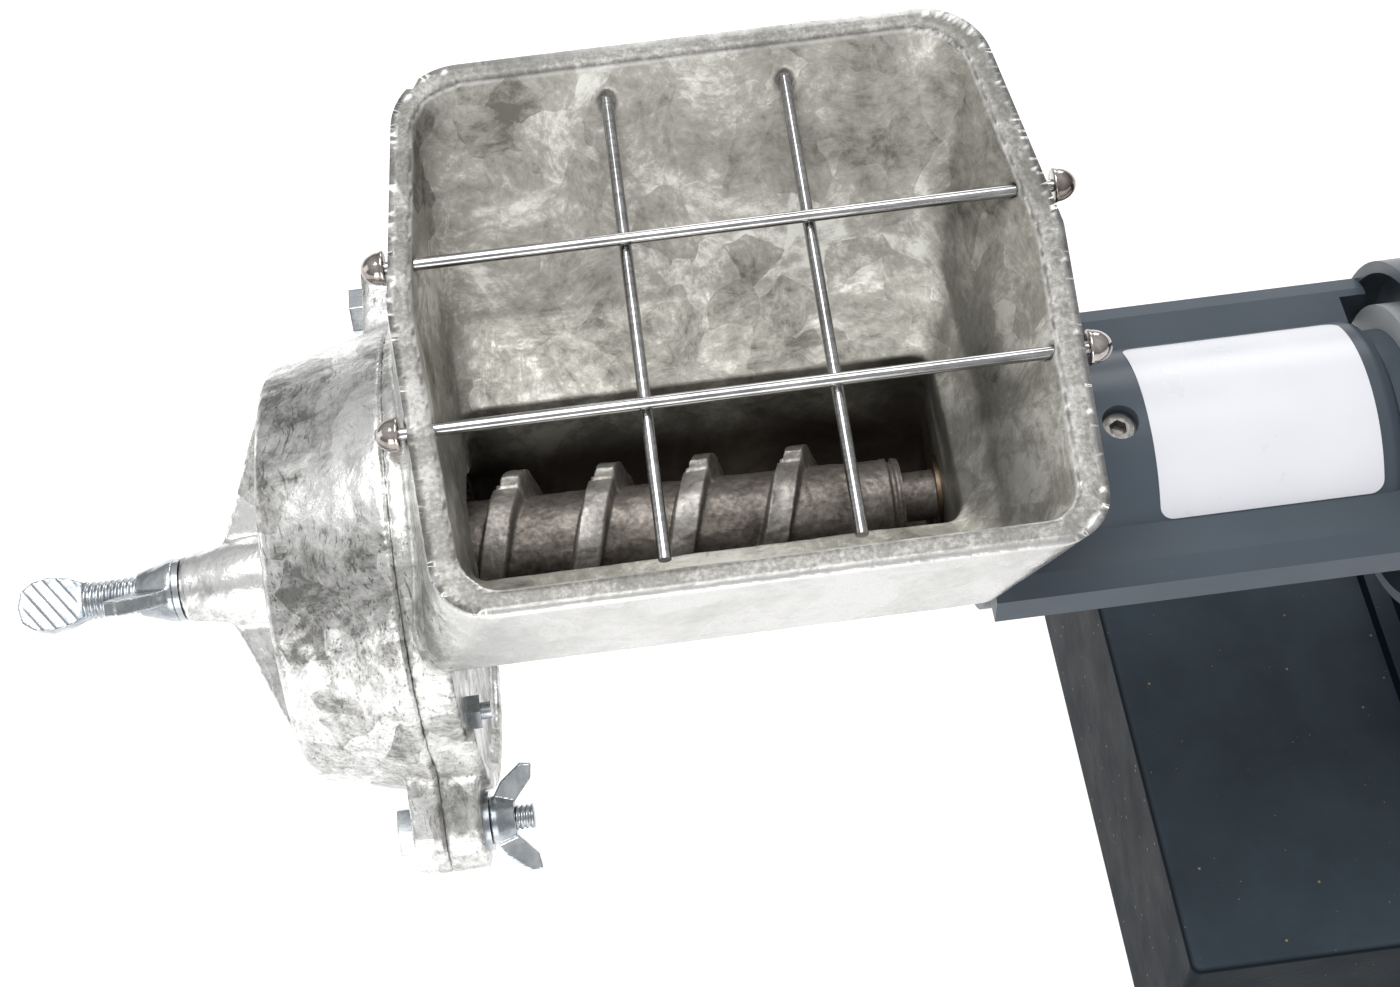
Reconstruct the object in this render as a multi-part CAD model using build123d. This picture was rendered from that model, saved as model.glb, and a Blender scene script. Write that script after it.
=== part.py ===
from build123d import *
import math
import os

os.makedirs("parts", exist_ok=True)

# ---------------------------------------------------------------- driving dimensions (mm)
AXIS_H = 231.0          # mill shaft axis above the bench
LEFT_END = -103.0       # tip of the thumb screw head, measured from the cover joint face
RIGHT_END = 465.0       # back of the fan cover
X_MID = (LEFT_END + RIGHT_END) / 2.0

# grinding head casting
FLANGE_R, FLANGE_T = 60.0, 9.0
LUG_PCR, LUG_ANG, LUG_R = 68.0, 20.0, 11.2
BOLT_R, BOLT_HOLE_R = 3.12, 3.4
RIM_Z0, RIM_TILT = 70.9, 9.04        # rim plane: height on the axis, tilt up to the back
TROUGH_RI = 23.0
BODY_X1 = 138.0
SPIGOT_R, SPIGOT_X1 = 22.0, 190.0
EYE_R = 21.2
SHAFT_R = 6.35
# cover
COVER_DEPTH = 38.5
BOSS_TIP = -61.0
SCREW_R, SCREW_BORE_R = 4.70, 4.76
# grinding plates
PLATE_R = 49.0
# guard grid
ROD_R = 1.5
ROD_A = (34.7, 72.9)
ROD_B = (-8.7, 66.0)
ROD_Y_X = (60.8, 104.7)
# drive housing
TUBE_R = 30.8
HOUS_X0, HOUS_X1 = 139.0, 243.0
WING_Y, WING_Z = 41.9, 15.8
SET_X, SET_ANG = 174.7, 100.5
# gearmotor
NOSE_X0, NOSE_R = 250.0, 45.0
CASE_X0, CASE_X1 = 270.0, 336.0
LAY_Z = -30.0
MOD = 0.8
T_SMALL, T_BIG = 15, 60
MOTOR_R, MOTOR_X0, MOTOR_X1 = 52.0, 336.0, 432.0
# base
BASE_TOP = -130.0
BASE_X0, BASE_X1, BASE_HY = 195.2, 452.0, 88.0
SKIRT, SHEET = 86.0, 2.0
FOOT_H = 15.0

# ---------------------------------------------------------------- helpers
def bx(x0, x1, y0, y1, z0, z1):
    return Pos((x0 + x1) / 2, (y0 + y1) / 2, (z0 + z1) / 2) * Box(x1 - x0, y1 - y0, z1 - z0)

def cx(r, x0, x1, y=0.0, z=0.0):
    return Pos((x0 + x1) / 2, y, z) * Rot(0, 90, 0) * Cylinder(r, abs(x1 - x0))

def cy(r, y0, y1, x, z):
    return Pos(x, (y0 + y1) / 2, z) * Rot(90, 0, 0) * Cylinder(r, abs(y1 - y0))

def cz(r, z0, z1, x, y):
    return Pos(x, y, (z0 + z1) / 2) * Cylinder(r, abs(z1 - z0))

def revx(pts):
    """Turned part: closed list of (x, radius) revolved about the shaft axis."""
    return revolve(make_face(Polyline(*[(p[0], p[1], 0) for p in pts], close=True)), axis=Axis.X)

def yz(x, y=0.0, z=0.0):
    """Sketch plane facing +X, local x = +Y, local y = +Z."""
    return Plane(origin=(x, y, z), x_dir=(0, 1, 0), z_dir=(1, 0, 0))

def hexx(af, x0, x1, y=0.0, z=0.0):
    return extrude(yz(x0, y, z) * RegularPolygon(af / 2, 6, major_radius=False), amount=x1 - x0)

def polyx(pts, x0, x1):
    """Prism along X from a (y, z) outline."""
    return extrude(make_face(Polyline(*[(x0, p[0], p[1]) for p in pts], close=True)), amount=x1 - x0, dir=(1, 0, 0))

def polar(r, deg):
    return r * math.cos(math.radians(deg)), r * math.sin(math.radians(deg))

def section(pts, radii, z0, tilt):
    """Rounded outline in a plane that crosses the axis at height z0 and rises to the back by tilt."""
    t = math.radians(tilt)
    pl = Plane(origin=(0, 0, z0), x_dir=(1, 0, 0), z_dir=(0, -math.sin(t), math.cos(t)))
    loc = [(p[0], p[1] / math.cos(t)) for p in pts]
    return make_face(pl * FilletPolyline(*loc, radius=radii, close=True))

def stack(secs):
    out = None
    for a, b in zip(secs[:-1], secs[1:]):
        s = loft([a, b], ruled=True)
        out = s if out is None else out + s
    return out

NODES = {}
def node(name, *solids):
    """A node holds one solid, or several separate ones."""
    flat = []
    for s in solids:
        flat += list(s.solids())
    NODES[name] = flat

# ================================================================ grinding head casting
lug_pts = [polar(LUG_PCR, LUG_ANG), polar(LUG_PCR, LUG_ANG + 180)]

def lug(x0, x1, c, r):
    a = math.degrees(math.atan2(c[1], c[0]))
    inner = polar(38, a)
    pair = Sketch() + [Pos(c[0], c[1]) * Circle(r), Pos(inner[0], inner[1]) * Circle(r + 9)]
    return extrude(yz(x0) * make_hull(pair.edges()), amount=x1 - x0)

RAD_O = [15, 12, 1, 17, 17, 1]
RAD_I = [11, 8, 1, 13, 13, 1]
o_rim = section([(10.5, -57), (158.6, -57), (162.6, 22), (152.4, 86.5), (9.6, 86.5), (4.4, 22)], RAD_O, RIM_Z0, RIM_TILT)
o_mid = section([(0.5, -52), (137.5, -52), (138, 10), (138, 46), (0.5, 46), (0.2, 10)], [9, 6, 1, 6, 6, 1], 31.5, 0)
o_low = section([(2, -29.3), (137.5, -29.3), (138, 5), (138, 30), (2, 30), (1.5, 5)], [3, 3, 1, 3, 3, 1], 14, 0)
outer = stack([o_rim, o_mid, o_low])
shell = outer + cx(FLANGE_R, 0, FLANGE_T)
for c in lug_pts:
    shell = shell + lug(0, FLANGE_T, c, LUG_R)
shell = shell + bx(2, BODY_X1, -29.3, 29.3, 0, 20)
shell = shell + cx(29.3, 2, BODY_X1)
shell = shell + cx(SPIGOT_R, 130, SPIGOT_X1)
# rib round the lower half of the flange's back face
rib = (cx(FLANGE_R, FLANGE_T, FLANGE_T + 2.5) - cx(55.5, FLANGE_T - 1, FLANGE_T + 4)) & bx(0, 20, -70, 70, -70, 10)
shell = shell + rib

i_top = section([(17.5, -52.2), (153.4, -52.2), (157.6, 22), (148, 83.6), (14.0, 83.6), (9.0, 22)], RAD_I, RIM_Z0 + 9, RIM_TILT)
i_rim = section([(16.8, -51.0), (152.6, -51.0), (156.4, 22), (147, 82.2), (14.6, 82.2), (10.0, 22)], RAD_I, RIM_Z0, RIM_TILT)
i_mid = section([(14.5, -45.5), (139, -45.5), (140, 10), (139, 43), (14.5, 43), (12.6, 10)], [8, 7, 1, 9, 9, 1], 40, 0)
i_low = section([(15, -27), (132, -27), (132.8, 0.5), (132, 23), (15, 23), (14.2, 0.5)], [4, 4, 1, 4, 4, 1], 29, 0)
cavity = stack([i_top, i_rim, i_mid, i_low])
cavity = cavity + loft([section([(15, -27), (132, -27), (132.8, 0.5), (132, 23), (15, 23), (14.2, 0.5)], [4, 4, 1, 4, 4, 1], 29.2, 0),
                        section([(15, -23), (132, -23), (132.8, 0.5), (132, 23), (15, 23), (14.2, 0.5)], [4, 4, 1, 4, 4, 1], 18, 0)], ruled=True)
cavity = cavity + bx(15, 132, -TROUGH_RI, TROUGH_RI, 0, 18.5)
cavity = cavity + cx(TROUGH_RI, 15, 132)
body = shell - cavity
body = body - cx(EYE_R, -2, 16)
body = body - cx(9.5, 130, SPIGOT_X1 + 2)                    # bush bore through neck and spigot
body = body - cx(BOLT_HOLE_R, -2, 12, *lug_pts[0]) - cx(BOLT_HOLE_R, -2, 12, *lug_pts[1])
plate_screw_pts = [(-46.0, 0.5), (46.0, 0.5), (0.0, -46.0)]
for p in plate_screw_pts:
    body = body - cx(2.3, -2, 14, *p)
for (y, z) in (ROD_A, ROD_B):
    body = body - cx(1.7, -2, 22, y, z) - cx(1.7, 140, 170, y, z)
tilt = math.radians(RIM_TILT)
def rod_y_z(y):
    return ROD_B[1] + (y - ROD_B[0]) * (ROD_A[1] - ROD_B[1]) / (ROD_A[0] - ROD_B[0]) - 3.05
YR0, YR1 = -45.3, 76.5
def yrod(x, r, y0, y1):
    a, b = Vector(x, y0, rod_y_z(y0)), Vector(x, y1, rod_y_z(y1))
    d = b - a
    pl = Plane(origin=a, z_dir=d)
    return extrude(pl * Circle(r), amount=d.length)
for x in ROD_Y_X:
    body = body - yrod(x, 2.1, 60, 78.5)
node("mill_body", body)

# ================================================================ guard grid: cross rods welded under the long rods, and the push-on nuts
node("guard_long_rods", cx(ROD_R, 0.0, 166.5, *ROD_A), cx(ROD_R, 0.4, 166.4, *ROD_B))
node("guard_cross_rods", *[yrod(x, ROD_R, YR0, YR1) for x in ROD_Y_X])
def push_nut(x, s, y, z):
    """Domed push-on cap: s=-1 dome to the left, +1 to the right; x is its seat."""
    n = revx([(0, 1.53), (0, 4.2), (0.8, 4.2), (0.8, 3.7), (3.4, 3.5), (4.9, 2.5), (5.6, 1.2), (5.75, 0), (4.7, 0), (4.7, 1.53)])
    if s < 0:
        n = n.mirror(Plane.YZ)
    return Pos(x, y, z) * n
node("guard_push_nuts", push_nut(4.2, -1, *ROD_A), push_nut(4.9, -1, *ROD_B),
     push_nut(162.6, 1, *ROD_A), push_nut(162.2, 1, *ROD_B))

# ================================================================ plate cover
cov = revx([(0, 0), (0, 60), (-1.5, 60), (-30.6, 52.2), (-31.3, 51.4), (-32.6, 44.5), (-33.6, 30), (-34.1, 15), (-35.6, 12.0), (-48, 10.6), (-61, 8), (-61, 0)])
for c in lug_pts:
    cov = cov + lug(-8, 0, c, LUG_R)
for a in (LUG_ANG + 14, LUG_ANG + 194):                      # two gusset webs from boss to rim
    w = make_face(Polyline((-32, 6, 0), (-50, 6, 0), (-49.5, 10.6, 0), (-45.5, 19.5, 0), (-40.5, 33, 0), (-33.5, 49.5, 0), (-31.0, 51.6, 0), (-30.0, 44, 0), close=True))
    w = extrude(w, amount=2.2, both=True)
    cov = cov + Rot(a, 0, 0) * w
cov = cov - revx([(1, 0), (1, 54), (0, 54), (-10, 51.5), (-22, 49.6), (-26.5, 46.8), (-29.4, 43.9), (-30.6, 42.6), (-31.0, 0)])
cov = cov - cx(SCREW_BORE_R, -62, -30)
cov = cov - bx(-27, 1, -26, 26, -64, -30)                    # meal discharge mouth at the bottom
for c in lug_pts:
    cov = cov - cx(BOLT_HOLE_R, -12, 1, *c)
cov = cov - (Rot(0, 0, 0) * cx(61, 0, 2))
node("plate_cover", cov)

# cover bolts and washers and wing nuts
node("cover_bolts", *[hexx(11.0, -12.2, -8, *c) + cx(BOLT_R, -8, 21, *c) for c in lug_pts])
def wing_nut(x0, c, ang):
    hub = Pos(x0, 0, 0) * revx([(0, 0), (0, 5.9), (1.6, 5.9), (6.0, 4.6), (6.0, 0)])
    w = make_face(Polyline((x0 + 0.6, 0, 0), (x0 + 0.6, 5.2, 0), (x0 + 3.2, 9.4, 0), (x0 + 8.4, 13.4, 0), (x0 + 11.2, 13.0, 0), (x0 + 10.6, 9.2, 0), (x0 + 6.0, 4.0, 0), (x0 + 5.6, 0, 0), close=True))
    w = extrude(w, amount=1.3, both=True)
    n = hub + w + Rot(180, 0, 0) * w
    n = n - cx(3.17, x0 - 1, x0 + 14)
    return Pos(0, c[0], c[1]) * Rot(ang, 0, 0) * n
for tag, c, ang in (("back", lug_pts[0], 75.0), ("front", lug_pts[1], 33.0)):
    node("bolt_washer_" + tag, cx(7.3, FLANGE_T, FLANGE_T + 1.4, *c) - cx(3.2, FLANGE_T - 1, FLANGE_T + 3, *c))
    node("wing_nut_" + tag, wing_nut(FLANGE_T + 1.45, c, ang))

# ================================================================ grinding plates
def plate(x_face, x_back, r_in, r_out, s, slots, phase):
    """Burr plate: ring with radial furrows cut into the working face."""
    lo, hi = min(x_face, x_back), max(x_face, x_back)
    p = cx(r_out, lo, hi) - cx(r_in, lo - 1, hi + 1)
    for k in range(slots):
        a = phase + 360.0 * k / slots
        f = bx(x_face - 1.2, x_face + 1.2, -0.9, 0.9, r_in - 2 + 8, r_out + 2)
        p = p - Rot(a, 0, 0) * (Pos(0, 5, 0) * f)
    return p
stat = plate(-9.0, 0.0, 22.5, PLATE_R, 1, 24, 0.0)
for p in plate_screw_pts:
    stat = stat - cx(2.3, -12, 2, *p) - Pos(0, *p) * revx([(-9.5, 0), (-9.5, 5.2), (-9.0, 4.7), (-6.3, 2.0), (-6.3, 0)])
node("stationary_plate", stat)
node("plate_screws", *[Pos(0, *p) * revx([(-8.6, 0), (-8.6, 4.2), (-6.5, 2.1), (14.6, 2.1), (14.6, 0)]) for p in plate_screw_pts])
node("plate_nuts", *[hexx(8.0, FLANGE_T + 0.0, FLANGE_T + 3.2, *p) - cx(2.12, FLANGE_T - 1, FLANGE_T + 6, *p) for p in plate_screw_pts])
rot = plate(-9.6, -18.6, 20.0, PLATE_R, -1, 24, 5.0)
node("rotating_plate", rot)
drv = revx([(-18.6, 8.05), (-18.6, 38), (-21.6, 42), (-27.4, 42), (-27.4, 10), (-28.2, 8.0), (-28.2, 0), (-27.2, 0), (-27.2, 8.05)]) 
drv = drv + cx(19.9, -18.6, -14.0) - cx(8.05, -27.2, -10)
node("plate_driver", drv)

# ================================================================ shaft, auger, thrust ball
pin_x = -16.5
shaft = cx(8.0, -27.2, 118.0) + cx(SHAFT_R, 118.0, 197.0)
tang = cx(SHAFT_R, 197.0, 210.0) & bx(196, 211, -2.6, 2.6, -8, 8)
shaft = shaft + tang
shaft = shaft - cy(2.0, -12, 12, pin_x, 0) - cy(2.0, -16, 16, 112, 0)
node("mill_shaft", shaft)
NODES["plate_driver"] = list((NODES["plate_driver"][0] - cy(2.0, -19.2, 19.2, pin_x, 0)).solids())
# tapered left-hand screw
AUG_X0, AUG_X1, PITCH = 12.0, 122.5, 23.8
core = revx([(AUG_X0 - 9, 8.05), (AUG_X0 - 9, 12.9), (AUG_X0, 12.9), (AUG_X1 - 3, 10.6), (AUG_X1 - 3, 9.6), (AUG_X1 - 1.6, 9.6), (AUG_X1 - 1.6, 10.5), (AUG_X1, 10.2), (AUG_X1, SHAFT_R + 0.05), (118.2, SHAFT_R + 0.05), (118.2, 8.05)])
# the screw thread is laid up as short overlapping sectors, each a step further along the helix (left-hand)
SEG = 20.0
segs = []
n_seg = int(4.05 * 360 / SEG)
for k in range(n_seg):
    xc = 14.5 + PITCH * k * SEG / 360.0
    ro = 20.0 - 3.6 * min(1.0, max(0.0, (xc - 12) / 95.0))
    a = 213.7 - k * SEG
    h = SEG / 2 + 0.8
    o = [polar(8.4, a - h), polar(ro / math.cos(math.radians(h)) * 0.985, a - h), polar(ro, a), polar(ro / math.cos(math.radians(h)) * 0.985, a + h), polar(8.4, a + h)]
    segs.append(polyx(o, xc - 3.4, xc + 3.4))
aug = core.fuse(*segs)
aug = aug - cx(8.05, 0, 118.2)
aug = aug - cy(2.0, -25, 25, 112, 0)
node("feed_auger", aug)
node("shaft_pins", cy(1.98, -19.0, 19.0, pin_x, 0), cy(1.98, -10.4, 10.4, 112, 0))
node("thrust_ball", Pos(-32.97, 0, 0) * Sphere(4.7))

# ================================================================ thumb screw and its lock nut
head = make_face(Polyline((-103.0, 0, 0), (-102.0, 4.0, 0), (-99.0, 6.2, 0), (-95.0, 6.9, 0), (-90.0, 6.2, 0), (-86.5, 4.7, 0), (-84.0, 4.6, 0), (-84.0, -4.6, 0), (-86.5, -4.7, 0), (-90.0, -6.2, 0), (-95.0, -6.9, 0), (-99.0, -6.2, 0), (-102.0, -4.0, 0), close=True))
head = extrude(head, amount=2.1, both=True)
screw = Rot(20, 0, 0) * head + cx(SCREW_R, -86.0, -39.3) + revx([(-39.3, 0), (-39.3, 4.7), (-38.4, 3.6), (-37.75, 0)])
node("thumb_screw", screw)
node("lock_washer", cx(7.9, BOSS_TIP - 1.5, BOSS_TIP) - cx(4.82, BOSS_TIP - 3, BOSS_TIP + 1))
LN = BOSS_TIP - 1.55
ln_w = make_face(Polyline((LN - 1.0, 0, 0), (LN - 1.0, 7.2, 0), (LN - 4.5, 11.6, 0), (LN - 12.5, 15.8, 0), (LN - 15.6, 15.0, 0), (LN - 14.8, 11.6, 0), (LN - 9.6, 5.6, 0), (LN - 8.6, 0, 0), close=True))
ln_w = extrude(ln_w, amount=1.9, both=True)
ln = revx([(LN, 0), (LN, 8.0), (LN - 1.4, 8.0), (LN - 9.6, 5.5), (LN - 9.6, 0)]) + ln_w + Rot(180, 0, 0) * ln_w
ln = Rot(133, 0, 0) * (ln - cx(4.76, LN - 20, LN + 2))
node("lock_wing_nut", ln)

# ================================================================ drive housing
r, wy, wz = TUBE_R, WING_Y, WING_Z
wing = polyx([(-wy, 4.5), (-wy, wz - 2.6), (-36.6, wz), (36.6, wz), (wy, wz - 2.6), (wy, 4.5)], HOUS_X0 - 0.6, NOSE_X0)
tube = cx(r, HOUS_X0, HOUS_X1)
tube = fillet(tube.edges().filter_by(GeomType.CIRCLE).sort_by(Axis.X)[-1], 4.0)
hous = tube + wing
hous = hous - cx(r - 2, HOUS_X1 + 0.01, NOSE_X0 + 1) - (bx(HOUS_X1, NOSE_X0 + 1, -34.4, 34.4, -40, 40))
hous = hous - cx(SPIGOT_R + 0.03, HOUS_X0 - 3, SPIGOT_X1 + 2) - cx(25.6, SPIGOT_X1 + 2, 236.0) - cx(19.0, 235, HOUS_X1 + 2)
hous = hous - (bx(HOUS_X0 - 3, HOUS_X0, -29.6, 29.6, -40, 40))
sy, sz = polar(1.0, SET_ANG)
def radial(rr, r0, r1):
    pl = Plane(origin=(SET_X, sy * r0, sz * r0), z_dir=(0, sy, sz))
    return extrude(pl * Circle(rr), amount=r1 - r0)
hous = hous - radial(4.0, 18, 40) - radial(4.5, 26.8, 40)
screw_holes = [polar(22.2, a) for a in (45, 135, 225, 315)]
for p in screw_holes:
    hous = hous - cx(2.1, 234, 245, *p)
node("drive_housing", hous)
ss = radial(3.96, SPIGOT_R, SPIGOT_R + 4.8) - extrude(Plane(origin=(SET_X, sy * (SPIGOT_R + 1.8), sz * (SPIGOT_R + 1.8)), z_dir=(0, sy, sz)) * RegularPolygon(2.0, 6, major_radius=False), amount=5)
node("set_screw", ss)
lab = cx(TUBE_R + 0.2, 181.5, 236.5) - cx(TUBE_R + 0.01, 180, 238)
a0, a1 = 47.0, 148.4
wedge = polyx([(0, 0)] + [polar(50, a0 + (a1 - a0) * k / 6) for k in range(7)], 180, 238)
node("label", lab & wedge)
node("neck_bushes", cx(9.5, 131.0, 147.0) - cx(SHAFT_R + 0.04, 130, 150), cx(9.5, 172.0, 189.0) - cx(SHAFT_R + 0.04, 170, 192))

# ================================================================ coupling and gearbox
coup = cx(14.0, 199.0, 232.0) - (cx(8.0, 198, 212.5) & bx(198, 212.5, -2.75, 2.75, -8, 8)) - cx(7.0, 214.0, 233.0)
node("drive_coupling", coup - cz(2.0, 6.0, 15, 223, 0))
node("coupling_grub", cz(1.95, 7.05, 13.6, 223, 0))
out_shaft = cx(6.98, 214.0, 262.0) + cx(7.45, 262.0, 271.0) + cx(9.0, 271.0, 292.0)
node("output_shaft", out_shaft)
hull_o = lambda ro, rl: make_hull((Sketch() + [Circle(ro), Pos(0, LAY_Z) * Circle(rl)]).edges())
nose = cx(NOSE_R, NOSE_X0, CASE_X0 + 0.5) + extrude(yz(CASE_X0) * hull_o(50, 40), amount=6)
nose = nose + cx(27.8, HOUS_X1, NOSE_X0 + 1)
nose = nose - (cx(42.0, NOSE_X0 - 1, NOSE_X0 + 8) - cx(27.8, NOSE_X0 - 2, NOSE_X0 + 9))
nose = nose - cx(8.2, HOUS_X1 - 2, CASE_X0 + 8) - cx(15.0, HOUS_X1 + 6, HOUS_X1 + 17) - cx(8.6, HOUS_X1 + 16, CASE_X0 + 8)
nose = nose - cx(9.4, 269.0, CASE_X0 + 8)
nose = nose - cx(5.0, CASE_X0 + 1, CASE_X0 + 8, 0, LAY_Z) 
for p in screw_holes:
    nose = nose - cx(2.1, HOUS_X1 - 1, HOUS_X1 + 14, *p)
case_holes = [(44.6, 8.0), (-44.6, 8.0), (35.6, -34.0), (-35.6, -34.0)]
for p in case_holes:
    nose = nose - cx(1.7, CASE_X0 - 1, CASE_X0 + 8, *p) - cx(3.3, CASE_X0 - 7, CASE_X0, *p)
node("gearbox_nose", nose)
node("bearing_collar", cx(34.0, 248.5, NOSE_X0 + 8) - cx(27.85, 247, NOSE_X0 + 9))
node("output_bearing", cx(14.97, HOUS_X1 + 6.2, HOUS_X1 + 17) - cx(7.02, HOUS_X1 + 5, HOUS_X1 + 18))
case = extrude(yz(CASE_X0 + 6) * hull_o(50, 40), amount=CASE_X1 - CASE_X0 - 12)
case = case - extrude(yz(CASE_X0 + 6) * hull_o(41.0, 31.0), amount=CASE_X1 - CASE_X0 - 17)
case = case - cx(9.0, CASE_X1 - 14, CASE_X1 - 2) - cx(5.0, CASE_X1 - 14, CASE_X1 - 7, 0, LAY_Z)
for p in case_holes:
    case = case - cx(1.7, CASE_X0 + 4, CASE_X0 + 20, *p)
node("gearbox_case", case)
node("gearbox_screws", *[cx(3.0, CASE_X0 - 2.6, CASE_X0, *p) + cx(1.65, CASE_X0, CASE_X0 + 16, *p) for p in case_holes])
node("housing_screws", *[cx(3.4, 232.4, 236.0, *p) + cx(2.05, 236.0, 256.5, *p) for p in screw_holes])

def gear(teeth, x0, x1, y, z, tooth_at, bore):
    """Spur gear with straight-flanked teeth and running backlash; a tooth sits at angle tooth_at."""
    rp = MOD * teeth / 2
    ra, rd = rp + 0.72 * MOD, rp - 1.2 * MOD
    half = math.pi * MOD / 4 - 0.10
    tan = math.tan(math.radians(20))
    pts = []
    for k in range(teeth):
        a = math.radians(tooth_at + 360.0 * k / teeth)
        for rr, sgn in ((rd, -1), (ra, -1), (ra, 1), (rd, 1)):
            h = half - tan * (rr - rp) * 1.0
            b = a + sgn * h / rr
            pts.append((y + rr * math.cos(b), z + rr * math.sin(b)))
    return polyx(pts, x0, x1) - cx(bore, x0 - 1, x1 + 1, y, z)
big_at = 90 + 180.0 / T_BIG
node("output_gear", gear(T_BIG, 278.0, 287.0, 0, 0, -90 + 180.0 / T_BIG, 9.02))
node("lay_gear", gear(T_BIG, 302.0, 309.0, 0, LAY_Z, 90 + 180.0 / T_BIG, 3.98))
node("layshaft", cx(3.96, 271.5, 329.0, 0, LAY_Z) + gear(T_SMALL, 277.0, 288.0, 0, LAY_Z, 90, 3.0))   # pinion cut on the shaft
node("layshaft_bushes", cx(4.98, 271.2, 276.5, 0, LAY_Z) - cx(4.0, 270, 278, 0, LAY_Z), cx(4.98, 324.5, 328.8, 0, LAY_Z) - cx(4.0, 320, 330, 0, LAY_Z))

# ================================================================ motor
shell_m = cx(MOTOR_R, MOTOR_X0, MOTOR_X1) - cx(MOTOR_R - 2.5, MOTOR_X0 - 1, MOTOR_X1 + 1)
adapter = extrude(yz(CASE_X1 - 6) * hull_o(50, 40), amount=6) + cx(MOTOR_R - 2.55, MOTOR_X0, MOTOR_X0 + 8)
adapter = adapter - cx(9.0, CASE_X1 - 8, MOTOR_X0 + 1) - cx(11.0, MOTOR_X0 - 1, MOTOR_X0 + 9)
node("motor_adapter", adapter)
node("motor_shell", shell_m)
node("motor_stator", cx(MOTOR_R - 2.55, 356, 408) - cx(31.0, 355, 409))
node("motor_rotor", cx(30.4, 358, 406) - cx(7.02, 357, 407))
node("motor_shaft", gear(T_SMALL, 301.0, 310.0, 0, 0, -90, 2.0) + cx(3.48, 300.0, 312.0) + cx(5.96, 312.0, 358.0) + cx(7.0, 358.0, 406.0) + cx(5.96, 406.0, 452.0))
node("motor_bearings", cx(10.95, MOTOR_X0 + 0.2, MOTOR_X0 + 8) - cx(6.0, MOTOR_X0 - 1, MOTOR_X0 + 10),
     cx(10.95, MOTOR_X1 - 8, MOTOR_X1 - 0.2) - cx(6.0, MOTOR_X1 - 10, MOTOR_X1 + 1))
bell = cx(MOTOR_R, MOTOR_X1, MOTOR_X1 + 5) + cx(MOTOR_R - 2.55, MOTOR_X1 - 8, MOTOR_X1) - cx(11.0, MOTOR_X1 - 9, MOTOR_X1) - cx(7.0, MOTOR_X1 - 1, MOTOR_X1 + 6)
node("motor_end_bell", bell)
fan = cx(12.0, 440, 452) - cx(6.0, 439, 453)
for k in range(8):
    fan = fan + Rot(k * 45, 0, 0) * bx(441, 451, -1.2, 1.2, 10, 42)
node("motor_fan", fan)
fc = cx(MOTOR_R, MOTOR_X1 + 5, RIGHT_END) - cx(MOTOR_R - 2, MOTOR_X1 + 4, RIGHT_END - 2)
for k in range(10):
    fc = fc - Rot(k * 36, 0, 0) * bx(RIGHT_END - 4, RIGHT_END + 1, -2.5, 2.5, 12, 40)
node("fan_cover", fc)

# terminal box on the motor with toggle switch and cord gland
tb = bx(352, 412, -30, 30, 44, 78) - cx(MOTOR_R, 340, 420) 
tb = tb - bx(355, 409, -27, 27, 56, 79) - cy(6.05, -31, -20, 372, 66) - cx(8.05, 405, 415, 0, 66)
node("terminal_box", tb)
node("terminal_lid", bx(352, 412, -30, 30, 78, 81))
sw = cy(6.0, -33.5, -24.0, 372, 66) + bx(364, 380, -27, -12, 58.5, 73.5)
sw = sw - cy(3.4, -34, -27.3, 372, 66)
node("toggle_switch", sw)
tl = Pos(372, -30.2, 66) * (Sphere(2.6) + Rot(90, 0, 0) * Pos(0, 0, 6.5) * Cone(2.0, 2.9, 13))
node("toggle_lever", Pos(0, -30.2, 66) * Rot(14, 0, 0) * Pos(0, 30.2, -66) * tl)
gl = cx(8.0, 404, 412) + hexx(20, 412, 417, 0, 66).moved(Location((0, 0, -66))) + revx([(417, 0), (417, 8.6), (426, 7.2), (426, 0)])
gl = gl - cx(3.9, 400, 430)
node("cord_gland", Pos(0, 0, 66) * gl)

# ================================================================ pedestal and base
ped = bx(278, 428, -46, 46, BASE_TOP, BASE_TOP + 6)
ped = ped + bx(284, 326, -34, 34, BASE_TOP + 2, -50) + bx(366, 406, -38, 38, BASE_TOP + 2, -30)
ped = ped - extrude(yz(200) * hull_o(50.02, 40.02), amount=136) - cx(MOTOR_R + 0.02, 330, 440)
ped = ped - bx(290, 320, -40, 40, BASE_TOP + 10, -80) - bx(372, 400, -46, 46, BASE_TOP + 10, -62)
ped_holes = [(292, -40), (292, 40), (416, -40), (416, 40)]
for p in ped_holes:
    ped = ped - cz(3.4, BASE_TOP - 2, BASE_TOP + 8, *p)
node("pedestal", ped)
node("pedestal_bolts", *[extrude(Plane(origin=(p[0], p[1], BASE_TOP + 6)) * RegularPolygon(5, 6, major_radius=False), amount=4.2) + cz(3.1, BASE_TOP - 8, BASE_TOP + 6, *p) for p in ped_holes])
node("pedestal_nuts", *[extrude(Plane(origin=(p[0], p[1], BASE_TOP - SHEET - 5)) * RegularPolygon(5, 6, major_radius=False), amount=5.0) - cz(3.15, BASE_TOP - 12, BASE_TOP, *p) for p in ped_holes])
strap = cx(MOTOR_R + 2.0, 380, 392) - cx(MOTOR_R + 0.02, 379, 393)
strap = strap & bx(370, 400, -60, 60, -30, 43.5)
node("motor_straps", strap & bx(370, 400, -60, 0, -30, 43.5), strap & bx(370, 400, 0, 60, -30, 43.5))

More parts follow.
